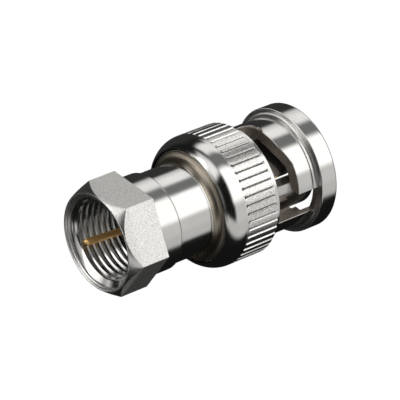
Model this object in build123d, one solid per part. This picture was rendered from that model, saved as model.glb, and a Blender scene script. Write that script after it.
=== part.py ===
from build123d import *

# Coaxial adapter with a bayonet plug on one end and a screw-on F plug on the other, in
# millimetres. It stands on the mouth of its bayonet ring: the origin is the centre of that mouth
# and +Z runs up the common axis to the F end. Angles are degrees about +Z, counted from +X.

import os
from math import asin, cos, degrees, radians, sin

# Levels along the axis, up from the mouth of the bayonet ring.
RING_TOP_Z = 15.3
NUT_FACE_Z = 27.85
F_PIN_TIP_Z = 29.2
BAYONET_PIN_TIP_Z = 1.1
SLEEVE_TIP_Z = 0.7

# Clearances between pieces that slide or turn on each other.
RUNNING = 0.08
AXIAL_PLAY = 0.08

# Reach of the window cutters across the ring's wall, and how far other cutters run past.
CUT_INNER_R = 4.4
CUT_OUTER_R = 8.0
OVERSHOOT = 1

# Bayonet ring, from its mouth upwards.
RING_BORE_R = 4.9
COUNTERBORE_R = 5.6
COUNTERBORE_Z = 3.55
MOUTH_FLANGE_R = 7.15
MOUTH_FLANGE_TOP_Z = 2.2
RING_NECK_R = 6.24
NECK_FILLET = 0.45
FILLET_STEPS = 3
LIP_R = 7.1
LIP_FRONT_Z = 8.25
KNURL_FRONT_Z = 8.9
KNURL_R = 7.5
GROOVE_END_Z = 13.07
SHOULDER_Z = 13.3
SHOULDER_ARC_R = 2.5
SHOULDER_STEPS = 4
RIM_INNER_R = 6.38
RIB_FRONT_Z = 12.6
RIB_BACK_Z = 13.8

# Straight knurl: V grooves between flat lands.
GROOVE_COUNT = 50
GROOVE_DEPTH = 0.2
GROOVE_HALF_WIDTH = 0.16
GROOVE_PHASE = 86.3

# Two bayonet windows, half a turn apart. The jack's studs come in along the entry channel, climb
# the ramp as the ring is turned and drop into the rounded detent at its end.
WINDOW_TURNS = (0, 180)
ENTRY_ANGLE = 44.7
ENTRY_WIDTH = 2.9
RAMP_START_Z = 4.8
RAMP_END_Z = 5.42
HUMP_Z = 5.57
RAMP_START_ANGLE = 91
RAMP_END_ANGLE = 112
HUMP_ANGLE = 131
DETENT_ANGLE = 143
WINDOW_END_ANGLE = 149.5
CUTTER_R = 1.2
DETENT_Z = 6.6
WINDOW_END_Z = 6.65
SECTION_STEP = 12

# Slotted outer contact, with the collar that the spring washers push against.
TAIL_R = 3.9
TAIL_BORE_R = 3.2
TAIL_TOP_Z = 17.0
COLLAR_R = 4.75
COLLAR_BACK_Z = 10.0
COLLAR_FRONT_Z = 9.4
SLEEVE_R = 4.15
SLEEVE_BORE_R = 3.45
SLEEVE_STEP_Z = 9.0
SLOT_COUNT = 4
SLOT_PHASE = 80
SLOT_WIDTH = 0.45
SLOT_TOP_Z = 7.4
SLEEVE_TIP_CHAMFER = 0.2
GASKET_FRONT_Z = 8.95

# Spring stack between the ring's rib and the collar.
WASHER_R = 4.8
THRUST_THICKNESS = 0.3
WAVE_THICKNESS = 0.22
WAVE_HEIGHT = 0.93
WAVE_COUNT = 3
SECTIONS_PER_WAVE = 8
WAVE_BORE_R = 4.02
WAVE_R = 4.72
WAVE_GAP = 0.02

# Body: the plain neck between the two ends, and the flange behind the ring's rib.
NECK_R = 5.17
NECK_TOP_Z = 20.35
BODY_FLANGE_R = 6.28
BODY_FLANGE_TOP_Z = 15.15
BODY_FLANGE_FRONT_Z = 13.85
BODY_FILLET = 1.0
BODY_LEDGE_Z = 17.6
BODY_LEDGE_BORE_R = 2.6

# F post, pressed into the body. Its flange keeps the nut on.
POST_SHANK_R = 3.45
POST_BORE_R = 2.6
POST_FLANGE_R = 4.2
POST_FLANGE_FRONT_Z = 21.3
POST_FACE_Z = 22.1

# F nut: a hexagon with a round collar behind it. The 3/8-32 thread is left at its minor radius.
NUT_ACROSS_FLATS = 11.2
NUT_CORNER_ANGLE = 49.13
NUT_FACE_R = 5.5
NUT_CHAMFER_END_Z = 26.6
HEX_BACK_Z = 23.1
NUT_COLLAR_R = 5.47
NUT_BACK_Z = 20.43
NUT_COLLAR_CHAMFER = 0.25
THREAD_MINOR_R = 4.43
NUT_MOUTH_R = 5.38
NUT_LIP_TOP_Z = 21.22

# Centre contacts. The F pin stands a little off the axis, bent where it leaves the insulator.
F_PIN_R = 0.4
F_PIN_TIP_STEPS = 2
F_PIN_LEAN = 3.2
F_PIN_ROOT_Z = 17.9
BAYONET_PIN_R = 0.675
BAYONET_PIN_NOSE = 0.45
CONTACT_BARREL_R = 0.85
CONTACT_COLLAR_R = 1.3
CONTACT_COLLAR_Z = (11.0, 12.0)
CONTACT_TOP_Z = 19.6

# Insulators.
F_INSULATOR_FACE_Z = 21.6
BAYONET_INSULATOR_FACE_Z = 5.9


def turned(*points):
    """A solid turned about Z from a closed outline of points in radius and height."""
    return revolve(Plane.XZ * make_face(Polyline(*points, close=True)), Axis.Z)


def washer(inner, outer, low, high):
    """A flat ring about Z."""
    return turned((inner, low), (outer, low), (outer, high), (inner, high))


def arc_points(centre, radius, start, end, steps):
    """Evenly spaced points on an arc in radius and height, both ends included."""
    turns = [radians(start + (end - start) * step / steps) for step in range(steps + 1)]
    return [(centre[0] + radius * cos(turn), centre[1] + radius * sin(turn)) for turn in turns]


def around(angle, radius, height):
    """The place at a radius and height that faces outwards at an angle about Z."""
    return Rot(0, 0, angle) * Pos(radius, 0, height)


def upright_section(angle, low, high, inner=CUT_INNER_R, outer=CUT_OUTER_R):
    """A rectangle that stands across the ring's wall at an angle."""
    plane = Plane(
        origin=(0, 0, 0),
        x_dir=(cos(radians(angle)), sin(radians(angle)), 0),
        z_dir=(sin(radians(angle)), -cos(radians(angle)), 0),
    )
    middle = Pos((inner + outer) / 2, (low + high) / 2)
    return plane * middle * Rectangle(outer - inner, high - low)


def ramp_level(angle):
    """Height of the window's front edge, which the jack's stud is pulled along."""
    if angle <= RAMP_START_ANGLE:
        return RAMP_START_Z
    if angle <= RAMP_END_ANGLE:
        share = (angle - RAMP_START_ANGLE) / (RAMP_END_ANGLE - RAMP_START_ANGLE)
        return RAMP_START_Z + share * (RAMP_END_Z - RAMP_START_Z)
    share = min(1, (angle - RAMP_END_ANGLE) / (HUMP_ANGLE - RAMP_END_ANGLE))
    return RAMP_END_Z + share * (HUMP_Z - RAMP_END_Z)


def ramp_sections():
    """Upright sections along the window, from the entry channel to its end."""
    stations = [ENTRY_ANGLE, RAMP_START_ANGLE, RAMP_END_ANGLE, HUMP_ANGLE, WINDOW_END_ANGLE]
    sections = []
    for start, end in zip(stations, stations[1:]):
        steps = max(1, round((end - start) / SECTION_STEP))
        for step in range(steps):
            angle = start + (end - start) * step / steps
            sections.append(upright_section(angle, ramp_level(angle), LIP_FRONT_Z))
    sections.append(upright_section(WINDOW_END_ANGLE, ramp_level(WINDOW_END_ANGLE), LIP_FRONT_Z))
    return sections


def bayonet_window():
    """What is milled away for one stud: entry channel, ramp, detent and rounded end."""
    wall = (CUT_INNER_R + CUT_OUTER_R) / 2
    depth = CUT_OUTER_R - CUT_INNER_R
    channel_height = LIP_FRONT_Z - MOUTH_FLANGE_TOP_Z
    channel = around(ENTRY_ANGLE, wall, MOUTH_FLANGE_TOP_Z + channel_height / 2)
    end_height = LIP_FRONT_Z - WINDOW_END_Z
    end = around(WINDOW_END_ANGLE, wall, WINDOW_END_Z + end_height / 2)
    radial = Rot(0, 90, 0)
    return [
        channel * Box(depth, ENTRY_WIDTH, channel_height),
        loft(ramp_sections(), ruled=True),
        around(DETENT_ANGLE, wall, DETENT_Z) * radial * Cylinder(CUTTER_R, depth),
        around(WINDOW_END_ANGLE, wall, WINDOW_END_Z) * radial * Cylinder(CUTTER_R, depth),
        end * Box(depth, 2 * CUTTER_R, end_height),
    ]


def ring_profile():
    """Half section of the bayonet ring, with its rib, rounded shoulder and open rear recess."""
    fillet_centre = (RING_NECK_R + NECK_FILLET, MOUTH_FLANGE_TOP_Z + NECK_FILLET)
    shoulder_centre = (KNURL_R - SHOULDER_ARC_R, SHOULDER_Z)
    shoulder_turn = degrees(asin((RING_TOP_Z - SHOULDER_Z) / SHOULDER_ARC_R))
    return [
        (RING_BORE_R, RIB_FRONT_Z),
        (RING_BORE_R, COUNTERBORE_Z),
        (COUNTERBORE_R, COUNTERBORE_Z),
        (COUNTERBORE_R, 0),
        (MOUTH_FLANGE_R, 0),
        (MOUTH_FLANGE_R, MOUTH_FLANGE_TOP_Z),
        *arc_points(fillet_centre, NECK_FILLET, 270, 180, FILLET_STEPS),
        (RING_NECK_R, LIP_FRONT_Z),
        (LIP_R, LIP_FRONT_Z),
        (LIP_R, KNURL_FRONT_Z),
        (KNURL_R, KNURL_FRONT_Z),
        *arc_points(shoulder_centre, SHOULDER_ARC_R, 0, shoulder_turn, SHOULDER_STEPS),
        (RIM_INNER_R, RING_TOP_Z),
        (RIM_INNER_R, RIB_BACK_Z),
        (TAIL_R + RUNNING, RIB_BACK_Z),
        (TAIL_R + RUNNING, RIB_FRONT_Z),
    ]


def knurl_grooves():
    """The V grooves of the knurl, open at the front and blind at the shoulder."""
    bottom = KNURL_R - GROOVE_DEPTH
    outside = KNURL_R + GROOVE_DEPTH
    wide = 2 * GROOVE_HALF_WIDTH
    vee = make_face(Polyline((bottom, 0), (outside, wide), (outside, -wide), close=True))
    groove = Pos(0, 0, LIP_FRONT_Z) * extrude(vee, GROOVE_END_Z - LIP_FRONT_Z)
    pitch = 360 / GROOVE_COUNT
    return [Rot(0, 0, GROOVE_PHASE + pitch * step) * groove for step in range(GROOVE_COUNT)]


def bayonet_ring():
    cutters = [Rot(0, 0, turn) * piece for turn in WINDOW_TURNS for piece in bayonet_window()]
    return turned(*ring_profile()) - cutters - knurl_grooves()


def outer_contact():
    """Tail, collar and slotted spring sleeve in one turning."""
    body = turned(
        (TAIL_BORE_R, TAIL_TOP_Z),
        (TAIL_BORE_R, SLEEVE_STEP_Z),
        (SLEEVE_BORE_R, SLEEVE_STEP_Z),
        (SLEEVE_BORE_R, SLEEVE_TIP_Z),
        (SLEEVE_R - SLEEVE_TIP_CHAMFER, SLEEVE_TIP_Z),
        (SLEEVE_R, SLEEVE_TIP_Z + SLEEVE_TIP_CHAMFER),
        (SLEEVE_R, COLLAR_FRONT_Z),
        (COLLAR_R, COLLAR_FRONT_Z),
        (COLLAR_R, COLLAR_BACK_Z),
        (TAIL_R, COLLAR_BACK_Z),
        (TAIL_R, TAIL_TOP_Z),
    )
    height = SLOT_TOP_Z - SLEEVE_TIP_Z + OVERSHOOT
    slot = Pos(SLEEVE_R, 0, SLOT_TOP_Z - height / 2) * Box(2 * SLEEVE_R, SLOT_WIDTH, height)
    pitch = 360 / SLOT_COUNT
    return body - [Rot(0, 0, SLOT_PHASE + pitch * step) * slot for step in range(SLOT_COUNT)]


def wave_washer(low, crest_angle):
    """A washer bent into waves, from its lowest point up, with its crests turned to an angle."""
    swing = (WAVE_HEIGHT - WAVE_THICKNESS) / 2
    sections = []
    stations = SECTIONS_PER_WAVE * WAVE_COUNT
    for station in range(stations):
        angle = 360 * station / stations
        level = low + swing * (1 + cos(radians(WAVE_COUNT * (angle - crest_angle))))
        sections.append(
            upright_section(angle, level, level + WAVE_THICKNESS, WAVE_BORE_R, WAVE_R)
        )
    sections.append(sections[0])
    return loft(sections, ruled=True)


def body_shell():
    """Plain neck with the flange that stands in the ring's recess, bored for the F post and tail."""
    fillet_centre = (NECK_R + BODY_FILLET, BODY_FLANGE_TOP_Z + BODY_FILLET)
    return turned(
        (NECK_R, NECK_TOP_Z),
        (POST_SHANK_R, NECK_TOP_Z),
        (POST_SHANK_R, BODY_LEDGE_Z),
        (BODY_LEDGE_BORE_R, BODY_LEDGE_Z),
        (BODY_LEDGE_BORE_R, TAIL_TOP_Z),
        (TAIL_R, TAIL_TOP_Z),
        (TAIL_R, BODY_FLANGE_FRONT_Z),
        (BODY_FLANGE_R, BODY_FLANGE_FRONT_Z),
        (BODY_FLANGE_R, BODY_FLANGE_TOP_Z),
        *arc_points(fillet_centre, BODY_FILLET, 270, 180, FILLET_STEPS),
    )


def f_post():
    """Flanged bushing: the flange traps the nut's inner lip against the body."""
    return turned(
        (POST_BORE_R, BODY_LEDGE_Z),
        (POST_SHANK_R, BODY_LEDGE_Z),
        (POST_SHANK_R, POST_FLANGE_FRONT_Z),
        (POST_FLANGE_R, POST_FLANGE_FRONT_Z),
        (POST_FLANGE_R, POST_FACE_Z),
        (POST_BORE_R, POST_FACE_Z),
    )


def f_nut():
    """Hexagon nut with a chamfered face, a round rear collar and a lip that runs on the post."""
    corner_r = NUT_ACROSS_FLATS / 2 / cos(radians(30))
    hexagon = Rot(0, 0, NUT_CORNER_ANGLE) * RegularPolygon(corner_r, 6)
    blank = Pos(0, 0, NUT_BACK_Z) * extrude(hexagon, NUT_FACE_Z - NUT_BACK_Z)
    slope = (corner_r - NUT_FACE_R) / (NUT_FACE_Z - NUT_CHAMFER_END_Z)
    wide_r = corner_r + OVERSHOOT
    wide_z = NUT_FACE_Z - (wide_r - NUT_FACE_R) / slope
    envelope = turned(
        (0, NUT_BACK_Z),
        (NUT_COLLAR_R - NUT_COLLAR_CHAMFER, NUT_BACK_Z),
        (NUT_COLLAR_R, NUT_BACK_Z + NUT_COLLAR_CHAMFER),
        (NUT_COLLAR_R, HEX_BACK_Z),
        (wide_r, HEX_BACK_Z),
        (wide_r, wide_z),
        (NUT_FACE_R, NUT_FACE_Z),
        (0, NUT_FACE_Z),
    )
    bore = turned(
        (0, NUT_BACK_Z),
        (POST_SHANK_R + RUNNING, NUT_BACK_Z),
        (POST_SHANK_R + RUNNING, NUT_LIP_TOP_Z),
        (THREAD_MINOR_R, NUT_LIP_TOP_Z),
        (THREAD_MINOR_R, NUT_FACE_Z - (NUT_MOUTH_R - THREAD_MINOR_R)),
        (NUT_MOUTH_R, NUT_FACE_Z),
        (0, NUT_FACE_Z),
    )
    return (blank & envelope) - bore


def bayonet_pin():
    """Turned centre contact: rounded nose, retaining collar and a rear socket for the F pin."""
    nose_z = BAYONET_PIN_TIP_Z + BAYONET_PIN_NOSE
    nose_r = BAYONET_PIN_R / 2
    body = turned(
        (0, BAYONET_PIN_TIP_Z),
        (nose_r, BAYONET_PIN_TIP_Z),
        (BAYONET_PIN_R, nose_z),
        (BAYONET_PIN_R, BAYONET_INSULATOR_FACE_Z),
        (CONTACT_BARREL_R, BAYONET_INSULATOR_FACE_Z),
        (CONTACT_BARREL_R, CONTACT_COLLAR_Z[0]),
        (CONTACT_COLLAR_R, CONTACT_COLLAR_Z[0]),
        (CONTACT_COLLAR_R, CONTACT_COLLAR_Z[1]),
        (CONTACT_BARREL_R, CONTACT_COLLAR_Z[1]),
        (CONTACT_BARREL_R, CONTACT_TOP_Z),
        (0, CONTACT_TOP_Z),
    )
    depth = CONTACT_TOP_Z - F_PIN_ROOT_Z
    return body - Pos(0, 0, F_PIN_ROOT_Z + depth / 2) * Cylinder(F_PIN_R, depth)


def f_pin():
    """Plain wire pin with a rounded tip. Past the insulator it leans towards +X."""
    length = (F_PIN_TIP_Z - F_INSULATOR_FACE_Z) / cos(radians(F_PIN_LEAN)) - F_PIN_R
    root_length = F_INSULATOR_FACE_Z - F_PIN_ROOT_Z
    root = Pos(0, 0, F_PIN_ROOT_Z + root_length / 2) * Cylinder(F_PIN_R, root_length)
    lean = Pos(0, 0, F_INSULATOR_FACE_Z) * Rot(0, F_PIN_LEAN, 0)
    tip_round = arc_points((0, length), F_PIN_R, 0, 90, F_PIN_TIP_STEPS)[:-1]
    shank = lean * turned((0, 0), (F_PIN_R, 0), *tip_round, (0, length + F_PIN_R))
    elbow = Pos(0, 0, F_INSULATOR_FACE_Z) * Sphere(F_PIN_R)
    return root + elbow + shank


def bayonet_insulator():
    """Stepped bush in the outer contact, drilled for the bayonet pin and its collar."""
    outside = turned(
        (0, BAYONET_INSULATOR_FACE_Z),
        (SLEEVE_BORE_R, BAYONET_INSULATOR_FACE_Z),
        (SLEEVE_BORE_R, SLEEVE_STEP_Z),
        (TAIL_BORE_R, SLEEVE_STEP_Z),
        (TAIL_BORE_R, TAIL_TOP_Z),
        (0, TAIL_TOP_Z),
    )
    return outside - contact_clearance()


def f_insulator():
    """Bush in the F post that centres the F pin."""
    low = TAIL_TOP_Z
    outside = turned(
        (0, low), (POST_BORE_R, low), (POST_BORE_R, F_INSULATOR_FACE_Z), (0, F_INSULATOR_FACE_Z)
    )
    return outside - contact_clearance()


def contact_clearance():
    """The stepped hole that the two centre contacts fill."""
    return turned(
        (0, BAYONET_PIN_TIP_Z),
        (CONTACT_BARREL_R, BAYONET_PIN_TIP_Z),
        (CONTACT_BARREL_R, CONTACT_COLLAR_Z[0]),
        (CONTACT_COLLAR_R, CONTACT_COLLAR_Z[0]),
        (CONTACT_COLLAR_R, CONTACT_COLLAR_Z[1]),
        (CONTACT_BARREL_R, CONTACT_COLLAR_Z[1]),
        (CONTACT_BARREL_R, CONTACT_TOP_Z),
        (F_PIN_R, CONTACT_TOP_Z),
        (F_PIN_R, F_PIN_TIP_Z),
        (0, F_PIN_TIP_Z),
    )


def thrust_washer(low):
    return washer(TAIL_R + RUNNING, WASHER_R, low, low + THRUST_THICKNESS)


def pieces():
    """Every separate piece, by the name of its node."""
    rear_washer_z = RIB_FRONT_Z - AXIAL_PLAY - THRUST_THICKNESS
    front_wave_z = COLLAR_BACK_Z + THRUST_THICKNESS + WAVE_GAP
    rear_wave_z = rear_washer_z - WAVE_GAP - WAVE_HEIGHT
    return {
        "body_shell": body_shell(),
        "f_post": f_post(),
        "f_nut": f_nut(),
        "f_insulator": f_insulator(),
        "f_pin": f_pin(),
        "bayonet_pin": bayonet_pin(),
        "bayonet_insulator": bayonet_insulator(),
        "outer_contact": outer_contact(),
        "mating_gasket": washer(SLEEVE_R, COLLAR_R, GASKET_FRONT_Z, COLLAR_FRONT_Z),
        "front_thrust_washer": thrust_washer(COLLAR_BACK_Z),
        "front_wave_washer": wave_washer(front_wave_z, 0),
        "rear_wave_washer": wave_washer(rear_wave_z, 180 / WAVE_COUNT),
        "rear_thrust_washer": thrust_washer(rear_washer_z),
        "bayonet_ring": bayonet_ring(),
    }


os.makedirs("parts", exist_ok=True)
for node, solid in pieces().items():
    export_step(solid, f"parts/{node}.step")
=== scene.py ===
from math import asin, ceil, cos, degrees, pi, radians, sin, tan, tau

import bmesh
import bpy
from mathutils import Matrix, Vector


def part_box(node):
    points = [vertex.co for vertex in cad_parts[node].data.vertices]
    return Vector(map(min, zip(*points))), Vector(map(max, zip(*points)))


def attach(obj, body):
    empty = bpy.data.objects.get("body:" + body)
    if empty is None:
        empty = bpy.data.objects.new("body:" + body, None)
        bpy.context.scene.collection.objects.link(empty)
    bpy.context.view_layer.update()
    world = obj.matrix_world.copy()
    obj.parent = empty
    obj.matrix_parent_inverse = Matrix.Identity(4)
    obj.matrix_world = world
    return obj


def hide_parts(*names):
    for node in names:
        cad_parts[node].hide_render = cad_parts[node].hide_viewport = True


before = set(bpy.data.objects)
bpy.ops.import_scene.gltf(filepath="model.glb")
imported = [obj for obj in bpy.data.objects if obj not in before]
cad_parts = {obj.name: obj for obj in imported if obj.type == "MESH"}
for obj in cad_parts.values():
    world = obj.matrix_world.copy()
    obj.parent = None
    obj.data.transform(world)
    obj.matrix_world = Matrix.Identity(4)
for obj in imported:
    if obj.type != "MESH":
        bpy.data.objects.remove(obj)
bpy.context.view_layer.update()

# The pieces are shaped in millimetres about the common axis and scaled to metres when they are
# done. The origin is the centre of the bayonet ring's mouth and +Z runs to the F end. Angles are
# degrees about +Z, counted from +X.
MM = 0.001


def level(node, end):
    """Lowest (0) or highest (1) level of a solid along the axis, in millimetres."""
    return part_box(node)[end].z / MM


RING_TOP = level("bayonet_ring", 1)
NUT_BACK = level("f_nut", 0)
NUT_FACE = level("f_nut", 1)
BODY_FRONT = level("body_shell", 0)
BODY_TOP = level("body_shell", 1)
POST_BACK = level("f_post", 0)
POST_FACE = level("f_post", 1)
SLEEVE_TIP = level("outer_contact", 0)
TAIL_TOP = level("outer_contact", 1)
GASKET_FRONT = level("mating_gasket", 0)
GASKET_BACK = level("mating_gasket", 1)
F_BUSH_FACE = level("f_insulator", 1)
BAYONET_BUSH_FACE = level("bayonet_insulator", 0)
F_PIN_ROOT = level("f_pin", 0)
F_PIN_TIP = level("f_pin", 1)
BAYONET_PIN_TIP = level("bayonet_pin", 0)
BAYONET_PIN_TOP = level("bayonet_pin", 1)

# Ring, from its mouth upwards.
RING_BORE_R = 4.9
COUNTERBORE_R = 5.6
COUNTERBORE = 3.55
FLANGE_R = 7.15
FLANGE_TOP = 2.2
RING_NECK_R = 6.24
NECK_FILLET = 0.45
LIP_R = 7.1
LIP_FRONT = 8.25
KNURL_FRONT = 8.9
KNURL_R = 7.5
SHOULDER = 13.3
SHOULDER_ARC_R = 2.5
RIM_INNER_R = 6.38
RIB_FRONT = 12.6
RIB_BACK = 13.8
RIB_R = 3.98

# Straight knurl of V grooves, each with a pit at its rear end.
GROOVE_COUNT = 50
GROOVE_DEPTH = 0.2
GROOVE_HALF_WIDTH = 0.16
GROOVE_END = 13.07
GROOVE_PHASE = 86.3
PIT_R = 0.17
PIT_DEPTH = 0.3
COLUMNS_PER_GROOVE = 12
LAND_EDGE_STEP = 0.03

# The two bayonet windows, half a turn apart. A pair is an angle and a height.
WINDOW_TURNS = (0, 180)
ENTRY_ANGLE = 44.7
ENTRY_WIDTH = 2.9
RAMP_START = (91, 4.8)
RAMP_END = (112, 5.42)
HUMP = (131, 5.57)
DETENT = (143, 6.6)
WINDOW_END = (149.5, 6.65)
CUTTER_R = 1.2
CUT_INNER_R = 4.4
CUT_OUTER_R = 6.7
EDGE_BREAK = 0.07
CUT_MARGIN = 0.005

# Contact sleeve, collar and tail.
TAIL_R = 3.9
TAIL_BORE_R = 3.2
COLLAR_R = 4.75
COLLAR_TOP = 10.0
SLEEVE_R = 4.15
SLEEVE_BORE_R = 3.45
SLEEVE_STEP = 9.0
SLOT_COUNT = 4
SLOT_PHASE = 80
SLOT_WIDTH = 0.45
SLOT_TOP = 7.4

# Body and post.
BODY_NECK_R = 5.17
BODY_FLANGE_R = 6.28
BODY_FLANGE_TOP = 15.15
BODY_FILLET = 1.0
POST_R = 3.45
POST_BORE_R = 2.6
POST_FLANGE_R = 4.2
POST_FLANGE_FRONT = 21.3

# Nut and its 3/8-32 thread.
ACROSS_FLATS = 11.2
HEX_CORNER_R = ACROSS_FLATS / 2 / cos(radians(30))
CORNER_ANGLE = 49.13
NUT_FACE_R = 5.5
CHAMFER_END = 26.6
CHAMFER_SLOPE = (HEX_CORNER_R - NUT_FACE_R) / (NUT_FACE - CHAMFER_END)
HEX_BACK = 23.1
NUT_COLLAR_R = 5.47
NUT_LIP_R = 3.53
NUT_LIP_TOP = 21.22
NUT_MOUTH_R = 5.38
THREAD_MINOR_R = 4.43
THREAD_MAJOR_R = 4.77
THREAD_PITCH = 0.794
THREAD_START = 22.2
THREAD_ROOT_HALF = 0.06
THREAD_OPEN_HALF = 0.39
THREAD_OVERCUT = 0.1
THREAD_RUN_OUT = 0.45

# Centre contacts.
F_PIN_R = 0.4
F_PIN_LEAN = 3.2
BAYONET_PIN_R = 0.675
BAYONET_PIN_NOSE = 0.45
BARREL_R = 0.85
CONTACT_COLLAR_R = 1.3
CONTACT_COLLAR = (11.0, 12.0)

# Rounds of the edges.
FINE_ROUND = 0.05
CUT_ROUND = 0.06
EDGE_ROUND = 0.08
SLEEVE_INNER_ROUND = 0.1
SLEEVE_OUTER_ROUND = 0.2
POST_FACE_ROUND = 0.1
FLANGE_ROUND = 0.12
GASKET_ROUND = 0.12
MOUTH_ROUND = 0.25
NUT_COLLAR_ROUND = 0.25
F_PIN_TIP_ROUND = 0.3
HEX_EDGE_BREAK = 0.09
HEX_EDGE_ANGLE = radians(20)

# Steps of the turned forms, and how the meshes are joined and shaded.
RING_STEPS = GROOVE_COUNT * COLUMNS_PER_GROOVE
TURNED_STEPS = 144
PIN_STEPS = 48
THREAD_STEPS = 60
SHOULDER_STEPS = 12
PIT_ROWS = 4
ROUND_STEP = 15
ROUND_SUPPORT = 0.03
ROUND_SUPPORT_SHARE = 0.15
OVERSHOOT = 1
WELD = 1e-5
SHARP_ANGLE = radians(32)


class Signal:
    """A socket in a node tree. Arithmetic on it adds Math nodes."""

    def __init__(self, tree, socket=None):
        self.tree = tree
        self.socket = socket

    def node(self, kind, inputs=None, settings=None, output=0):
        """Adds a node: its settings first, then the values or links of its sockets."""
        made = self.tree.nodes.new(kind)
        for name, value in (settings or {}).items():
            setattr(made, name, value)
        for key, value in (inputs or {}).items():
            if isinstance(value, Signal):
                self.tree.links.new(value.socket, made.inputs[key])
            else:
                made.inputs[key].default_value = value
        return Signal(self.tree, made.outputs[output] if made.outputs else None)

    def out(self, name):
        """Another output of the same node."""
        return Signal(self.tree, self.socket.node.outputs[name])

    def maths(self, operation, first, second=0.0):
        return self.node("ShaderNodeMath", {0: first, 1: second}, {"operation": operation})

    def __add__(self, other):
        return self.maths("ADD", self, other)

    def __radd__(self, other):
        return self.maths("ADD", other, self)

    def __sub__(self, other):
        return self.maths("SUBTRACT", self, other)

    def __rsub__(self, other):
        return self.maths("SUBTRACT", other, self)

    def __mul__(self, other):
        return self.maths("MULTIPLY", self, other)

    def __rmul__(self, other):
        return self.maths("MULTIPLY", other, self)

    def rise(self, low, high):
        """0 below low, 1 above high, smooth between."""
        return self.node(
            "ShaderNodeMapRange",
            {"Value": self, "From Min": low, "From Max": high},
            {"interpolation_type": "SMOOTHSTEP"},
        )

    def within(self, low, high, soft):
        """1 from low to high, fading to 0 over a soft border outside them."""
        return self.rise(low - soft, low) * (1 - self.rise(high, high + soft))

    def noise(self, size, detail=2.0):
        """Noise from 0 to 1 over this place, with cells of a size in millimetres."""
        return self.node(
            "ShaderNodeTexNoise", {"Vector": self, "Scale": 1 / (size * MM), "Detail": detail}
        )

    def blend_colours(self, first, second):
        """The first colour where this mask is 0, the second where it is 1."""
        return self.node(
            "ShaderNodeMix",
            {"Factor": self, "A": first, "B": second},
            {"data_type": "RGBA"},
            output=2,
        )


def section(corners):
    """Points of an outline in radius and height. A corner's third number is its round.

    A point on either side of a round keeps the shading of the flat beside it flat.
    """
    points = []
    for index, corner in enumerate(corners):
        spot = Vector(corner[:2])
        if len(corner) == 2:
            points.append(spot)
            continue
        back = (Vector(corners[index - 1][:2]) - spot).normalized()
        ahead = (Vector(corners[(index + 1) % len(corners)][:2]) - spot).normalized()
        half = back.angle(ahead) / 2
        run = corner[2] / tan(half)
        centre = spot + (back + ahead).normalized() * corner[2] / sin(half)
        first = spot + back * run
        sweep = pi - 2 * half
        if back.cross(ahead) > 0:
            sweep = -sweep
        steps = max(2, ceil(degrees(abs(sweep)) / ROUND_STEP))
        support = min(ROUND_SUPPORT_SHARE * run, ROUND_SUPPORT)
        points.append(first + back * support)
        for step in range(steps + 1):
            turn = Matrix.Rotation(sweep * step / steps, 2)
            points.append(centre + turn @ (first - centre))
        points.append(spot + ahead * (run + support))
    return points


def new_object(name, bm):
    mesh = bpy.data.meshes.new(name)
    bm.to_mesh(mesh)
    bm.free()
    made = bpy.data.objects.new(name, mesh)
    bpy.context.scene.collection.objects.link(made)
    return made


def outward(bm):
    """Merges doubled vertices and turns every face outwards."""
    bmesh.ops.remove_doubles(bm, verts=bm.verts, dist=WELD)
    bmesh.ops.recalc_face_normals(bm, faces=bm.faces)


def spun(corners, steps=TURNED_STEPS, to_axis=False):
    """A mesh turned about Z. An outline that starts and ends on the axis has to_axis."""
    bm = bmesh.new()
    verts = [bm.verts.new((point.x, 0, point.y)) for point in section(corners)]
    followers = verts[1:] if to_axis else verts[1:] + verts[:1]
    edges = [bm.edges.new(pair) for pair in zip(verts, followers)]
    bmesh.ops.spin(
        bm, geom=verts + edges, cent=(0, 0, 0), axis=(0, 0, 1), angle=tau, steps=steps, use_merge=True
    )
    outward(bm)
    return bm


def settle(piece):
    """Applies the piece's modifiers to its mesh."""
    bpy.context.view_layer.update()
    graph = bpy.context.evaluated_depsgraph_get()
    mesh = bpy.data.meshes.new_from_object(piece.evaluated_get(graph))
    piece.modifiers.clear()
    piece.data = mesh


def carve(piece, tools, operation="DIFFERENCE"):
    """Cuts tools out of a piece one after the other, or keeps what they share."""
    for tool in tools:
        cut = piece.modifiers.new("cut", "BOOLEAN")
        cut.operation = operation
        cut.solver = "MANIFOLD"
        cut.object = tool
    settle(piece)
    for tool in tools:
        bpy.data.objects.remove(tool)


def finish_piece(piece, body, node, material):
    """Scales a piece to metres, shades it and puts it in the place of its solid."""
    piece.data.transform(Matrix.Scale(MM, 4))
    piece.data.shade_smooth()
    piece.data.set_sharp_from_angle(angle=SHARP_ANGLE)
    piece.data.materials.clear()
    piece.data.materials.append(material)
    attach(piece, body)
    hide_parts(node)


def box_mesh(low, high):
    """A box between two corners."""
    bm = bmesh.new()
    middle = (Vector(low) + Vector(high)) / 2
    size = Matrix.Diagonal((*(Vector(high) - Vector(low)), 1))
    bmesh.ops.create_cube(bm, size=1, matrix=Matrix.Translation(middle) @ size)
    return bm


def around(bm, angle, height=0):
    """Turns a mesh about Z and lifts it."""
    bmesh.ops.transform(
        bm,
        verts=bm.verts,
        matrix=Matrix.Translation((0, 0, height)) @ Matrix.Rotation(radians(angle), 4, "Z"),
    )
    return bm


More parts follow.
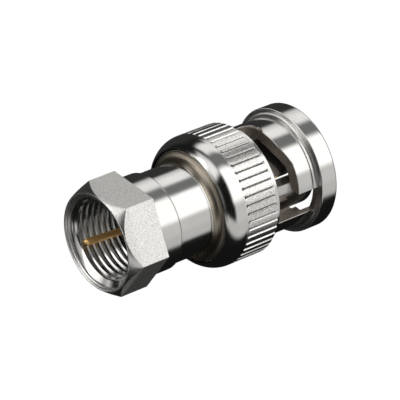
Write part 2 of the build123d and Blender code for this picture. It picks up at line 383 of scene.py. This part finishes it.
def flared_slot(half_width, low, high, side_r):
    """Cutter for a straight slot along X whose two long edges are broken at the outside."""
    bm = bmesh.new()
    flare_x = side_r - EDGE_BREAK
    flare = CUT_OUTER_R - flare_x
    outline = [
        (CUT_INNER_R, half_width),
        (flare_x, half_width),
        (CUT_OUTER_R, half_width + flare),
    ]
    outline += [(x, -y) for x, y in reversed(outline)]
    base = bm.faces.new([bm.verts.new((x, y, low)) for x, y in outline])
    top = bmesh.ops.extrude_face_region(bm, geom=[base], use_keep_orig=True)
    moved = [part for part in top["geom"] if isinstance(part, bmesh.types.BMVert)]
    bmesh.ops.translate(bm, verts=moved, vec=(0, 0, high - low))
    outward(bm)
    return bm


def flared_drill(depth_x):
    """Cutter for a round hole along X whose edge is broken at the outside."""
    flare_x = depth_x - EDGE_BREAK
    corners = [
        (0, CUT_INNER_R),
        (CUTTER_R, CUT_INNER_R),
        (CUTTER_R, flare_x),
        (CUTTER_R + CUT_OUTER_R - flare_x, CUT_OUTER_R),
        (0, CUT_OUTER_R),
    ]
    bm = spun(corners, steps=PIN_STEPS, to_axis=True)
    bmesh.ops.rotate(bm, verts=bm.verts, matrix=Matrix.Rotation(radians(90), 3, "Y"))
    return bm


def ramp_height(angle):
    """Height of the window's front edge at an angle."""
    if angle <= RAMP_START[0]:
        return RAMP_START[1]
    first, second = (RAMP_START, RAMP_END) if angle <= RAMP_END[0] else (RAMP_END, HUMP)
    share = min(1, (angle - first[0]) / (second[0] - first[0]))
    return first[1] + share * (second[1] - first[1])


def ramp_cutter():
    """Cutter swept along the window, with the front edge rising over the ramp."""
    steps = round(WINDOW_END[0] - ENTRY_ANGLE)
    flare_r = RING_NECK_R - EDGE_BREAK
    top = LIP_FRONT - CUT_MARGIN
    bm = bmesh.new()
    lower = [(CUT_INNER_R, 0), (flare_r, 0), (CUT_OUTER_R, flare_r - CUT_OUTER_R)]
    outline = [(r, 0, z) for r, z in lower] + [(CUT_OUTER_R, 0, top), (CUT_INNER_R, 0, top)]
    face = bm.faces.new([bm.verts.new(spot) for spot in outline])
    sweep = radians(WINDOW_END[0] - ENTRY_ANGLE)
    bmesh.ops.spin(
        bm, geom=face.edges[:] + face.verts[:], cent=(0, 0, 0), axis=(0, 0, 1), angle=sweep, steps=steps
    )
    bmesh.ops.remove_doubles(bm, verts=bm.verts, dist=WELD)
    bmesh.ops.holes_fill(bm, edges=[edge for edge in bm.edges if edge.is_boundary], sides=0)
    around(bm, ENTRY_ANGLE)
    for vert in bm.verts:
        if vert.co.z < top - CUT_MARGIN:
            angle = degrees(vert.co.xy.angle_signed(Vector((1, 0)))) % 360
            vert.co.z += ramp_height(angle)
    bmesh.ops.recalc_face_normals(bm, faces=bm.faces)
    return bm


def window_cutters(turn):
    """Entry channel, ramp, detent and rounded end of one window."""
    top = LIP_FRONT - CUT_MARGIN
    channel_side = (RING_NECK_R**2 - (ENTRY_WIDTH / 2) ** 2) ** 0.5
    end_side = (RING_NECK_R**2 - CUTTER_R**2) ** 0.5
    half = ENTRY_WIDTH / 2
    parts = {
        "channel": around(flared_slot(half, FLANGE_TOP + CUT_MARGIN, top, channel_side), ENTRY_ANGLE),
        "ramp": ramp_cutter(),
        "detent": around(flared_drill(end_side), DETENT[0], DETENT[1]),
        "end": around(flared_drill(end_side), WINDOW_END[0], WINDOW_END[1]),
        "end_slot": around(flared_slot(CUTTER_R, WINDOW_END[1], top, end_side), WINDOW_END[0]),
    }
    return [new_object(name, around(bm, turn)) for name, bm in parts.items()]


def knurl(bm):
    """Presses the V grooves of the knurl into the band, each with a pit at its rear end."""
    pitch = tau / GROOVE_COUNT
    for vert in bm.verts:
        radius = vert.co.xy.length
        if radius < LIP_R + CUT_MARGIN or not KNURL_FRONT - CUT_MARGIN < vert.co.z < GROOVE_END:
            continue
        turn = vert.co.xy.angle_signed(Vector((1, 0)))
        offset = abs((turn / pitch + 0.5) % 1 - 0.5) * pitch * KNURL_R
        groove = GROOVE_DEPTH * (1 - offset / GROOVE_HALF_WIDTH)
        to_pit = Vector((offset, vert.co.z - GROOVE_END + PIT_R)).length
        pit = PIT_DEPTH * (1 - (to_pit / PIT_R) ** 2)
        reach = KNURL_R - max(0, groove, pit)
        if radius > reach:
            vert.co.xy *= reach / radius


def coupling_ring(material):
    """The knurled bayonet ring, with both windows cut."""
    shoulder_turn = asin((RING_TOP - SHOULDER) / SHOULDER_ARC_R)
    shoulder = []
    for step in range(SHOULDER_STEPS + 1):
        turn = shoulder_turn * step / SHOULDER_STEPS
        shoulder.append(
            (KNURL_R - SHOULDER_ARC_R * (1 - cos(turn)), SHOULDER + SHOULDER_ARC_R * sin(turn))
        )
    pit_rows = [(KNURL_R, GROOVE_END - PIT_R * (PIT_ROWS - row) / 2) for row in range(PIT_ROWS)]
    corners = [
        (RING_BORE_R, RIB_FRONT),
        (RING_BORE_R, COUNTERBORE),
        (COUNTERBORE_R, COUNTERBORE),
        (COUNTERBORE_R, 0, EDGE_ROUND),
        (FLANGE_R, 0, MOUTH_ROUND),
        (FLANGE_R, FLANGE_TOP, FLANGE_ROUND),
        (RING_NECK_R, FLANGE_TOP, NECK_FILLET),
        (RING_NECK_R, LIP_FRONT, CUT_ROUND),
        (LIP_R, LIP_FRONT, EDGE_ROUND),
        (LIP_R, KNURL_FRONT),
        (KNURL_R - LAND_EDGE_STEP, KNURL_FRONT),
        (KNURL_R, KNURL_FRONT + LAND_EDGE_STEP),
        *pit_rows,
        (KNURL_R, GROOVE_END - LAND_EDGE_STEP),
        (KNURL_R, GROOVE_END + LAND_EDGE_STEP),
        *shoulder,
        (RIM_INNER_R, RING_TOP),
        (RIM_INNER_R, RIB_BACK, EDGE_ROUND),
        (RIB_R, RIB_BACK),
        (RIB_R, RIB_FRONT),
    ]
    bm = spun(corners, steps=RING_STEPS)
    knurl(bm)
    around(bm, GROOVE_PHASE)
    piece = new_object("coupling_ring", bm)
    carve(piece, [tool for turn in WINDOW_TURNS for tool in window_cutters(turn)])
    finish_piece(piece, "ring", "bayonet_ring", material)


def thread_cutter():
    """A coil of the thread's groove. In the flared mouth it widens and then runs out."""
    turns = ceil((NUT_FACE - THREAD_START) / THREAD_PITCH) + 1
    outline = [
        (THREAD_MINOR_R - THREAD_OVERCUT, -THREAD_OPEN_HALF),
        (THREAD_MAJOR_R, -THREAD_ROOT_HALF),
        (THREAD_MAJOR_R, THREAD_ROOT_HALF),
        (THREAD_MINOR_R - THREAD_OVERCUT, THREAD_OPEN_HALF),
    ]
    bm = bmesh.new()
    face = bm.faces.new([bm.verts.new((r, 0, THREAD_START + z)) for r, z in outline])
    bmesh.ops.spin(
        bm,
        geom=face.edges[:] + face.verts[:],
        cent=(0, 0, 0),
        axis=(0, 0, 1),
        dvec=(0, 0, THREAD_PITCH / THREAD_STEPS),
        angle=tau * turns,
        steps=THREAD_STEPS * turns,
    )
    bmesh.ops.remove_doubles(bm, verts=bm.verts, dist=WELD)
    bmesh.ops.holes_fill(bm, edges=[edge for edge in bm.edges if edge.is_boundary], sides=0)
    flare = NUT_MOUTH_R - THREAD_MINOR_R
    for vert in bm.verts:
        reach = vert.co.xy.length
        depth = reach - THREAD_MINOR_R
        left = min(1, max(0, (NUT_FACE - vert.co.z) / THREAD_RUN_OUT))
        if depth > 0:
            depth = depth * left - (1 - left) * CUT_MARGIN
        widening = min(flare, max(0, vert.co.z - NUT_FACE + flare))
        vert.co.xy *= (THREAD_MINOR_R + widening + depth) / reach
    bmesh.ops.recalc_face_normals(bm, faces=bm.faces)
    return new_object("thread_cutter", bm)


def hex_nut(material):
    """Hexagon nut with its chamfered face, round collar and internal thread."""
    bm = bmesh.new()
    bmesh.ops.create_cone(
        bm,
        cap_ends=True,
        segments=6,
        radius1=HEX_CORNER_R,
        radius2=HEX_CORNER_R,
        depth=NUT_FACE - NUT_BACK,
        matrix=Matrix.Translation((0, 0, (NUT_FACE + NUT_BACK) / 2)),
    )
    first_corner = min((vert.co.xy.angle_signed(Vector((1, 0))) for vert in bm.verts), key=abs)
    around(bm, CORNER_ANGLE - degrees(first_corner))
    piece = new_object("hex_nut", bm)
    wide_r = HEX_CORNER_R + OVERSHOOT
    envelope = new_object(
        "envelope",
        spun(
            [
                (0, NUT_BACK),
                (NUT_COLLAR_R, NUT_BACK, NUT_COLLAR_ROUND),
                (NUT_COLLAR_R, HEX_BACK),
                (wide_r, HEX_BACK),
                (wide_r, NUT_FACE - (wide_r - NUT_FACE_R) / CHAMFER_SLOPE),
                (NUT_FACE_R, NUT_FACE),
                (0, NUT_FACE),
            ],
            to_axis=True,
        ),
    )
    carve(piece, [envelope], "INTERSECT")
    edges = piece.modifiers.new("edges", "BEVEL")
    edges.width = HEX_EDGE_BREAK
    edges.segments = 2
    edges.limit_method = "ANGLE"
    edges.angle_limit = HEX_EDGE_ANGLE
    settle(piece)
    past = NUT_FACE + OVERSHOOT
    bore = new_object(
        "bore",
        spun(
            [
                (0, NUT_BACK - OVERSHOOT),
                (NUT_LIP_R, NUT_BACK - OVERSHOOT),
                (NUT_LIP_R, NUT_LIP_TOP),
                (THREAD_MINOR_R, NUT_LIP_TOP),
                (THREAD_MINOR_R, NUT_FACE - (NUT_MOUTH_R - THREAD_MINOR_R)),
                (NUT_MOUTH_R + OVERSHOOT, past),
                (0, past),
            ],
            to_axis=True,
        ),
    )
    carve(piece, [bore, thread_cutter()])
    finish_piece(piece, "nut", "f_nut", material)
    weigh = piece.modifiers.new("flat_faces", "WEIGHTED_NORMAL")
    weigh.keep_sharp = True


def neck_body(material):
    corners = [
        (BODY_NECK_R, BODY_TOP, EDGE_ROUND),
        (POST_R, BODY_TOP),
        (POST_R, POST_BACK),
        (POST_BORE_R, POST_BACK),
        (POST_BORE_R, TAIL_TOP),
        (TAIL_R, TAIL_TOP),
        (TAIL_R, BODY_FRONT),
        (BODY_FLANGE_R, BODY_FRONT, CUT_ROUND),
        (BODY_FLANGE_R, BODY_FLANGE_TOP, CUT_ROUND),
        (BODY_NECK_R, BODY_FLANGE_TOP, BODY_FILLET),
    ]
    piece = new_object("neck_body", spun(corners))
    finish_piece(piece, "root", "body_shell", material)


def flanged_post(material):
    corners = [
        (POST_BORE_R, POST_BACK),
        (POST_R, POST_BACK),
        (POST_R, POST_FLANGE_FRONT),
        (POST_FLANGE_R, POST_FLANGE_FRONT, FINE_ROUND),
        (POST_FLANGE_R, POST_FACE, POST_FACE_ROUND),
        (POST_BORE_R, POST_FACE, FINE_ROUND),
    ]
    piece = new_object("flanged_post", spun(corners))
    finish_piece(piece, "root", "f_post", material)


def slotted_sleeve(material):
    corners = [
        (TAIL_BORE_R, TAIL_TOP),
        (TAIL_BORE_R, SLEEVE_STEP),
        (SLEEVE_BORE_R, SLEEVE_STEP),
        (SLEEVE_BORE_R, SLEEVE_TIP, SLEEVE_INNER_ROUND),
        (SLEEVE_R, SLEEVE_TIP, SLEEVE_OUTER_ROUND),
        (SLEEVE_R, GASKET_BACK),
        (COLLAR_R, GASKET_BACK, FINE_ROUND),
        (COLLAR_R, COLLAR_TOP, FINE_ROUND),
        (TAIL_R, COLLAR_TOP),
        (TAIL_R, TAIL_TOP),
    ]
    piece = new_object("slotted_sleeve", spun(corners))
    pitch = 360 / SLOT_COUNT
    slots = []
    for index in range(SLOT_COUNT):
        low = (SLEEVE_BORE_R - OVERSHOOT, -SLOT_WIDTH / 2, SLEEVE_TIP - OVERSHOOT)
        high = (SLEEVE_R + OVERSHOOT, SLOT_WIDTH / 2, SLOT_TOP)
        slots.append(new_object("slot", around(box_mesh(low, high), SLOT_PHASE + pitch * index)))
    carve(piece, slots)
    finish_piece(piece, "root", "outer_contact", material)


def bushes(f_material, bayonet_material):
    """The two insulators, each with its stepped hole for the centre contacts."""
    barrel = [(BARREL_R, TAIL_TOP), (BARREL_R, CONTACT_COLLAR[1])]
    corners = [
        (BARREL_R, BAYONET_BUSH_FACE),
        (SLEEVE_BORE_R, BAYONET_BUSH_FACE, EDGE_ROUND),
        (SLEEVE_BORE_R, SLEEVE_STEP),
        (TAIL_BORE_R, SLEEVE_STEP),
        (TAIL_BORE_R, TAIL_TOP),
        *barrel,
        (CONTACT_COLLAR_R, CONTACT_COLLAR[1]),
        (CONTACT_COLLAR_R, CONTACT_COLLAR[0]),
        (BARREL_R, CONTACT_COLLAR[0]),
    ]
    bayonet_bush = new_object("bayonet_bush", spun(corners))
    finish_piece(bayonet_bush, "root", "bayonet_insulator", bayonet_material)
    corners = [
        (F_PIN_R, BAYONET_PIN_TOP),
        (F_PIN_R, F_BUSH_FACE),
        (POST_BORE_R, F_BUSH_FACE, EDGE_ROUND),
        (POST_BORE_R, TAIL_TOP),
        (BARREL_R, TAIL_TOP),
        (BARREL_R, BAYONET_PIN_TOP),
    ]
    f_bush = new_object("f_end_bush", spun(corners))
    finish_piece(f_bush, "root", "f_insulator", f_material)


def f_wire_pin(material):
    """Wire pin that leans towards +X past the bush, with a rounded tip."""
    tip = F_BUSH_FACE + (F_PIN_TIP - F_BUSH_FACE) / cos(radians(F_PIN_LEAN))
    corners = [
        (0, F_PIN_ROOT),
        (F_PIN_R, F_PIN_ROOT),
        (F_PIN_R, F_BUSH_FACE),
        (F_PIN_R, tip, F_PIN_TIP_ROUND),
        (0, tip),
    ]
    bm = spun(corners, steps=PIN_STEPS, to_axis=True)
    leaning = [vert for vert in bm.verts if vert.co.z > F_BUSH_FACE + CUT_MARGIN]
    bmesh.ops.rotate(
        bm,
        verts=leaning,
        cent=(0, 0, F_BUSH_FACE),
        matrix=Matrix.Rotation(radians(F_PIN_LEAN), 3, "Y"),
    )
    piece = new_object("f_wire_pin", bm)
    finish_piece(piece, "root", "f_pin", material)


def bayonet_centre_pin(material):
    corners = [
        (0, BAYONET_PIN_TIP),
        (BAYONET_PIN_R, BAYONET_PIN_TIP, BAYONET_PIN_NOSE),
        (BAYONET_PIN_R, BAYONET_BUSH_FACE),
        (BARREL_R, BAYONET_BUSH_FACE),
        (BARREL_R, CONTACT_COLLAR[0]),
        (CONTACT_COLLAR_R, CONTACT_COLLAR[0]),
        (CONTACT_COLLAR_R, CONTACT_COLLAR[1]),
        (BARREL_R, CONTACT_COLLAR[1]),
        (BARREL_R, BAYONET_PIN_TOP),
        (F_PIN_R, BAYONET_PIN_TOP),
        (F_PIN_R, F_PIN_ROOT),
        (0, F_PIN_ROOT),
    ]
    piece = new_object("bayonet_centre_pin", spun(corners, steps=PIN_STEPS, to_axis=True))
    finish_piece(piece, "root", "bayonet_pin", material)


def sleeve_gasket(material):
    corners = [
        (SLEEVE_R, GASKET_FRONT),
        (COLLAR_R, GASKET_FRONT, GASKET_ROUND),
        (COLLAR_R, GASKET_BACK),
        (SLEEVE_R, GASKET_BACK),
    ]
    piece = new_object("sleeve_gasket", spun(corners))
    finish_piece(piece, "root", "mating_gasket", material)


# Grain and cloud of the finishes: sizes and depths in millimetres, shades as shares of the colour.
GRAIN_DETAIL = 3.0
RELIEF = 0.01
METAL_CLOUD = 3
METAL_CLOUD_SPAN = (0.3, 0.7)
METAL_CLOUD_SHADE = 0.94
METAL_ROUGH_SWING = 0.5
SPECKLE_SPAN = (0.36, 0.64)
ZONE_EDGE = 0.03
MOULD_GRAIN = 0.06
MOULD_CLOUD = 1.5
MOULD_CLOUD_SHADE = 0.88
MOULD_ROUGH_SWING = 0.15
MOULD_RELIEF_SHARE = 0.5


def new_material(name):
    """A material without nodes, and a signal that adds them."""
    made = bpy.data.materials.new(name)
    made.use_nodes = True
    made.node_tree.nodes.clear()
    return made, Signal(made.node_tree)


def shaded(colour, share=1.0):
    """A colour, darkened to a share of itself, with its alpha."""
    return (*[channel * share for channel in colour], 1)


def zone_mask(zone, height, radius):
    """1 inside a zone's band of heights and radii, and short of its chamfer if it names one."""
    mask = height.within(*zone["height"], ZONE_EDGE) * radius.within(*zone["radius"], ZONE_EDGE)
    if "chamfer" in zone:
        cone_r, cone_z, slope = zone["chamfer"]
        to_cone = radius + (height - cone_z) * slope
        mask = mask * (1 - to_cone.rise(cone_r - ZONE_EDGE, cone_r))
    return mask


def metal(name, colour, rough, grain=0.0, grain_size=0.1, zones=()):
    """Plated or drawn metal. A zone is a band with a finish of its own, and most zones also paint light
    or shade with a lighter or darker copy of the metal's colour.

    Its ridges are turning marks: their pitch in millimetres and their strength.
    """
    made, start = new_material(name)
    place = start.node("ShaderNodeTexCoord", output="Object")
    fine = place.noise(grain_size, GRAIN_DETAIL)
    cloud = place.noise(METAL_CLOUD)
    roughness = rough + (cloud - 0.5) * (rough * METAL_ROUGH_SWING)
    tint = cloud.rise(*METAL_CLOUD_SPAN).blend_colours(shaded(colour), shaded(colour, METAL_CLOUD_SHADE))
    strength = grain
    turning = 0.0
    if zones:
        split = place.node("ShaderNodeSeparateXYZ", {"Vector": place})
        height = split.out("Z") * (1 / MM)
        across = split.out("X") * split.out("X") + split.out("Y") * split.out("Y")
        radius = place.maths("SQRT", across) * (1 / MM)
        speckle = fine.rise(*SPECKLE_SPAN)
    for zone in zones:
        mask = zone_mask(zone, height, radius)
        roughness = roughness + mask * (zone["rough"] - rough)
        strength = mask * (zone["grain"] - grain) + strength
        if "ridges" in zone:
            pitch, depth = zone["ridges"]
            turning = mask * place.maths("SINE", radius * (tau / pitch)) * depth + turning
        # A zone's colour replaces the metal's; most are lighter or darker copies of the nickel that
        # paint light or shade.
        dark = shaded(zone["colour"], 1 - zone["speckle"])
        tint = mask.blend_colours(tint, speckle.blend_colours(dark, shaded(zone["colour"])))
    bump = place.node(
        "ShaderNodeBump",
        {"Strength": 1.0, "Distance": RELIEF * MM, "Height": fine * strength + turning},
    )
    shader = place.node(
        "ShaderNodeBsdfPrincipled",
        {"Base Color": tint, "Metallic": 1.0, "Roughness": roughness, "Normal": bump},
    )
    place.node("ShaderNodeOutputMaterial", {"Surface": shader})
    return made


def moulded(name, colour, rough):
    """Plastic or rubber with a faint mottle and a fine moulded skin."""
    made, start = new_material(name)
    place = start.node("ShaderNodeTexCoord", output="Object")
    fine = place.noise(MOULD_GRAIN, GRAIN_DETAIL)
    cloud = place.noise(MOULD_CLOUD)
    tint = cloud.blend_colours(shaded(colour), shaded(colour, MOULD_CLOUD_SHADE))
    bump = place.node(
        "ShaderNodeBump",
        {"Strength": MOULD_RELIEF_SHARE, "Distance": RELIEF * MM, "Height": fine},
    )
    roughness = rough + (fine - 0.5) * MOULD_ROUGH_SWING
    shader = place.node(
        "ShaderNodeBsdfPrincipled",
        {"Base Color": tint, "Roughness": roughness, "Normal": bump},
    )
    place.node("ShaderNodeOutputMaterial", {"Surface": shader})
    return made


# Soft boxes of the studio: two side azimuths, two elevations, softness of the edges, radiance.
# Azimuths wrap at a seam in the dark, so no box may cross it.
SOFT_BOXES = {
    "key": ((247, 306), (-62, 20), 14, 1.55),
    "left_strip": ((190, 217), (-62, 56), 12, 0.64),
    "left_fill": ((217, 245), (-62, 16), 12, 0.72),
    "gap_fill": ((300, 334), (-62, 56), 12, 0.2),
    "right_lobe": ((336, 362), (-62, 12), 12, 1.1),
    "upper_right": ((302, 358), (24, 60), 16, 0.95),
    "high_right": ((338, 404), (40, 90), 12, 1.5),
    "low_right": ((362, 374), (-62, -28), 12, 0.86),
    "back_right": ((38, 68), (26, 62), 12, 0.9),
    "back_left": ((106, 142), (44, 64), 14, 0.3),
    "back_glow": ((20, 95), (-60, 8), 20, 0.03),
}
SEAM_AZIMUTH = 165
LOW_DARK = 0.008
OVERHEAD = 0.65
OVERHEAD_SPAN = (56, 84)
STUDIO_TINT = (1.0, 0.995, 0.98)
PALE = (1.0, 1.0, 1.0, 1)
SHEET_GLOW = 1.06
PAPER_SHARE = 0.06


def from_seam(azimuth):
    return (azimuth - SEAM_AZIMUTH) % 360


def soft_studio():
    """Light from soft boxes all round. The camera itself sees only the pale backdrop."""
    world = bpy.data.worlds.new("soft_studio")
    bpy.context.scene.world = world
    world.use_nodes = True
    tree = world.node_tree
    tree.nodes.clear()
    ray = Signal(tree).node("ShaderNodeTexCoord", output="Generated")
    split = ray.node("ShaderNodeSeparateXYZ", {"Vector": ray})
    azimuth = ray.maths("ARCTAN2", split.out("Y"), split.out("X")) * degrees(1)
    turn = ray.maths("FLOORED_MODULO", azimuth - SEAM_AZIMUTH, 360)
    elevation = ray.maths("ARCSINE", split.out("Z")) * degrees(1)
    radiance = LOW_DARK + elevation.rise(*OVERHEAD_SPAN) * (OVERHEAD - LOW_DARK)
    for sides, (low, high), soft, brightness in SOFT_BOXES.values():
        first, last = (from_seam(side) for side in sides)
        across = turn.within(first + soft / 2, last - soft / 2, soft)
        upright = elevation.within(low + soft / 2, high - soft / 2, soft)
        radiance = radiance + across * upright * brightness
    colour = ray.node(
        "ShaderNodeVectorMath",
        {0: STUDIO_TINT, "Scale": radiance},
        {"operation": "SCALE"},
    )
    boxes = ray.node("ShaderNodeBackground", {"Color": colour})
    backdrop = ray.node("ShaderNodeBackground", {"Color": PALE})
    seen = ray.node("ShaderNodeLightPath", output="Is Camera Ray")
    mixed = ray.node("ShaderNodeMixShader", {0: seen, 1: boxes, 2: backdrop})
    ray.node("ShaderNodeOutputWorld", {"Surface": mixed})


def pale_floor():
    """White sheet under the part. It glows evenly and takes only a trace of shadow."""
    bm = bmesh.new()
    bmesh.ops.create_grid(bm, x_segments=1, y_segments=1, size=1)
    floor = new_object("floor", bm)
    made, start = new_material("white_sheet")
    glow = start.node("ShaderNodeEmission", {"Color": PALE, "Strength": SHEET_GLOW})
    paper = start.node("ShaderNodeBsdfDiffuse", {"Color": PALE})
    sheet = start.node("ShaderNodeMixShader", {0: PAPER_SHARE, 1: glow, 2: paper})
    under = start.node("ShaderNodeNewGeometry", output="Backfacing")
    clear = start.node("ShaderNodeBsdfTransparent")
    mixed = start.node("ShaderNodeMixShader", {0: under, 1: sheet, 2: clear})
    start.node("ShaderNodeOutputMaterial", {"Surface": mixed})
    floor.data.materials.append(made)
    floor.visible_glossy = False
    floor.visible_diffuse = False
    floor.visible_transmission = False
    floor.visible_shadow = False


# The camera looks along +Y and down, rolled so that the axis points down to the left.
CAMERA_ELEVATION = 34.54
CAMERA_ROLL = 248.39
CAMERA_DISTANCE = 322.5
CAMERA_SHIFT = (1.35, 0.693)
CAMERA_LENS = 270
SENSOR_WIDTH = 36
CLIP_START = 0.01


def photo_camera():
    down = radians(CAMERA_ELEVATION)
    roll = radians(CAMERA_ROLL)
    forward = Vector((0, cos(down), -sin(down)))
    level_up = Vector((0, sin(down), cos(down)))
    right = Vector((1, 0, 0)) * cos(roll) + level_up * sin(roll)
    up = Vector((1, 0, 0)) * -sin(roll) + level_up * cos(roll)
    target = Vector((0, 0, RING_TOP)) + right * CAMERA_SHIFT[0] + up * CAMERA_SHIFT[1]
    spot = (target - forward * CAMERA_DISTANCE) * MM
    data = bpy.data.cameras.new("photo_camera")
    data.lens = CAMERA_LENS
    data.sensor_width = SENSOR_WIDTH
    data.clip_start = CLIP_START
    camera = bpy.data.objects.new("photo_camera", data)
    bpy.context.scene.collection.objects.link(camera)
    turn = Matrix((right, up, -forward)).transposed().to_4x4()
    camera.matrix_world = Matrix.Translation(spot) @ turn
    bpy.context.scene.camera = camera


# Colours of the metals, the plastics and the rubber.
NICKEL = (0.70, 0.695, 0.68)
BRASS = (0.95, 0.6, 0.24)
GOLD = (0.85, 0.62, 0.26)
STEEL = (0.56, 0.55, 0.53)
# Darker brownish copy of the nickel: painted shade on the ring's bore and window walls.
WALL_PAINTED_SHADE = (0.44, 0.39, 0.34)
# Dark brownish copy of the nickel: painted shade in the body's cove.
COVE_PAINTED_SHADE = (0.36, 0.32, 0.26)
# Dark copy of the nickel: painted shade in the knurl's groove roots and in the sleeve's slots.
RECESS_PAINTED_SHADE = (0.3, 0.29, 0.27)
SATIN = (0.72, 0.71, 0.69)
# Lighter copy of the nickel: painted light on the nut's mouth and chamfer.
FACE_PAINTED_LIGHT = (0.86, 0.85, 0.83)
# Lighter copy of the nickel: painted light on the knurl's lands.
KNURL_PAINTED_LIGHT = (0.94, 0.93, 0.91)
# Whiter copy of the nickel: painted light on the nut's flats.
FLATS_PAINTED_LIGHT = (0.9, 0.89, 0.87)
WHITE_PLASTIC = (0.84, 0.83, 0.8)
CREAM_PLASTIC = (0.72, 0.7, 0.64)
RUBBER = (0.03, 0.03, 0.03)

# Zones of the metals: bands of heights and radii that have a finish of their own, and how far
# they stay inside the edges of their forms. Most zones also carry a lighter or darker copy of
# the nickel's colour, which paints light or shade on the band.
INSET = 0.1
MOUTH_DEPTH = 0.5
LAND_DEPTH = 0.14
WALL_INSET = 0.04
EDGE_INSET = 0.02
STEP_DROP = 0.03
COVE_SHARE = 0.9

# Lands of the knurl: grain, and a lighter colour that is painted light.
knurl_finish_and_light = {
    "height": (KNURL_FRONT, SHOULDER - INSET),
    "radius": (LIP_R, KNURL_R + OVERSHOOT),
    "rough": 0.25,
    "grain": 0.9,
    "colour": KNURL_PAINTED_LIGHT,
    "speckle": 0.4,
}
# Groove roots of the knurl: rough grain, and a dark colour that is painted shade in the grooves.
groove_finish_and_shade = {
    "height": (KNURL_FRONT + INSET, SHOULDER),
    "radius": (LIP_R, KNURL_R - LAND_DEPTH),
    "rough": 0.5,
    "grain": 0.5,
    "colour": RECESS_PAINTED_SHADE,
    "speckle": 0.3,
}
turned_step = {
    "height": (FLANGE_TOP - STEP_DROP, FLANGE_TOP + NECK_FILLET),
    "radius": (RING_NECK_R + EDGE_INSET, FLANGE_R - INSET),
    "rough": 0.3,
    "grain": 0.4,
    "colour": SATIN,
    "speckle": 0.25,
}
# Bore, counterbore and window walls of the ring: rough milled grain, and a darker brownish colour that
# is painted shade.
wall_finish_and_shade = {
    "height": (INSET, LIP_FRONT),
    "radius": (0, RING_NECK_R - WALL_INSET),
    "rough": 0.55,
    "grain": 1.6,
    "colour": WALL_PAINTED_SHADE,
    "speckle": 0.5,
}
# Walls of the sleeve's slots: rough grain, and a dark colour that is painted shade inside the slots.
slot_finish_and_shade = {
    "height": (SLEEVE_TIP + INSET, SLOT_TOP + INSET),
    "radius": (SLEEVE_BORE_R + WALL_INSET, SLEEVE_R - WALL_INSET),
    "rough": 0.6,
    "grain": 1.0,
    "colour": RECESS_PAINTED_SHADE,
    "speckle": 0.3,
}
# Mouth of the nut: turning ridges and grain, and a lighter colour that is painted light.
mouth_finish_and_light = {
    "height": (NUT_FACE - MOUTH_DEPTH, NUT_FACE + OVERSHOOT),
    "radius": (0, NUT_FACE_R),
    "rough": 0.32,
    "grain": 1.5,
    "ridges": (0.21, 1.2),
    "colour": FACE_PAINTED_LIGHT,
    "speckle": 0.3,
}
# Chamfer of the nut: grain, and a lighter colour that is painted light.
chamfer_finish_and_light = {
    "height": (CHAMFER_END, NUT_FACE + OVERSHOOT),
    "radius": (NUT_FACE_R, HEX_CORNER_R + OVERSHOOT),
    "rough": 0.26,
    "grain": 0.8,
    "colour": FACE_PAINTED_LIGHT,
    "speckle": 0.2,
}
# Flats of the hexagon: satin roughness and grain, and a whiter colour that is painted light.
flats_finish_and_light = {
    "height": (HEX_BACK, NUT_FACE + OVERSHOOT),
    "radius": (NUT_FACE_R, HEX_CORNER_R + OVERSHOOT),
    "chamfer": (NUT_FACE_R - EDGE_INSET, NUT_FACE, CHAMFER_SLOPE),
    "rough": 0.4,
    "grain": 2.5,
    "colour": FLATS_PAINTED_LIGHT,
    "speckle": 0.3,
}
# Cove between the body's flange and neck: turning ridges, and a dark brownish colour that is painted
# shade in the cove.
cove_finish_and_shade = {
    "height": (BODY_FRONT, BODY_FLANGE_TOP + COVE_SHARE * BODY_FILLET),
    "radius": (BODY_NECK_R, BODY_FLANGE_R + OVERSHOOT),
    "rough": 0.3,
    "grain": 0.6,
    "ridges": (0.17, 0.3),
    "colour": COVE_PAINTED_SHADE,
    "speckle": 0.25,
}
RING_ZONES = (knurl_finish_and_light, groove_finish_and_shade, turned_step, wall_finish_and_shade)
NUT_ZONES = (mouth_finish_and_light, chamfer_finish_and_light, flats_finish_and_light)

ring_plate = metal("ring_nickel", NICKEL, 0.13, grain=0.1, grain_size=0.12, zones=RING_ZONES)
nut_plate = metal("nut_nickel", NICKEL, 0.15, grain=0.1, grain_size=0.115, zones=NUT_ZONES)
body_plate = metal("body_nickel", NICKEL, 0.13, grain=0.1, grain_size=0.12, zones=(cove_finish_and_shade,))
sleeve_plate = metal("sleeve_nickel", NICKEL, 0.16, grain=0.1, grain_size=0.12, zones=(slot_finish_and_shade,))
post_plate = metal("polished_nickel", NICKEL, 0.13, grain=0.1, grain_size=0.25)
spring_plate = metal("spring_steel", STEEL, 0.3, grain=0.4, grain_size=0.08)
wire_brass = metal("drawn_brass", BRASS, 0.34, grain=0.4, grain_size=0.08)
pin_gold = metal("gold_plate", GOLD, 0.16, grain=0.2, grain_size=0.08)
white_bush = moulded("white_bush", WHITE_PLASTIC, 0.45)
cream_bush = moulded("cream_bush", CREAM_PLASTIC, 0.5)
black_rubber = moulded("black_rubber", RUBBER, 0.6)

coupling_ring(ring_plate)
hex_nut(nut_plate)
neck_body(body_plate)
flanged_post(post_plate)
slotted_sleeve(sleeve_plate)
bushes(cream_bush, white_bush)
f_wire_pin(wire_brass)
bayonet_centre_pin(pin_gold)
sleeve_gasket(black_rubber)
for node in ("front_thrust_washer", "front_wave_washer", "rear_wave_washer", "rear_thrust_washer"):
    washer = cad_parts[node]
    washer.data.materials.clear()
    washer.data.materials.append(spring_plate)

pale_floor()
soft_studio()
photo_camera()
bpy.context.scene.view_settings.view_transform = "Standard"
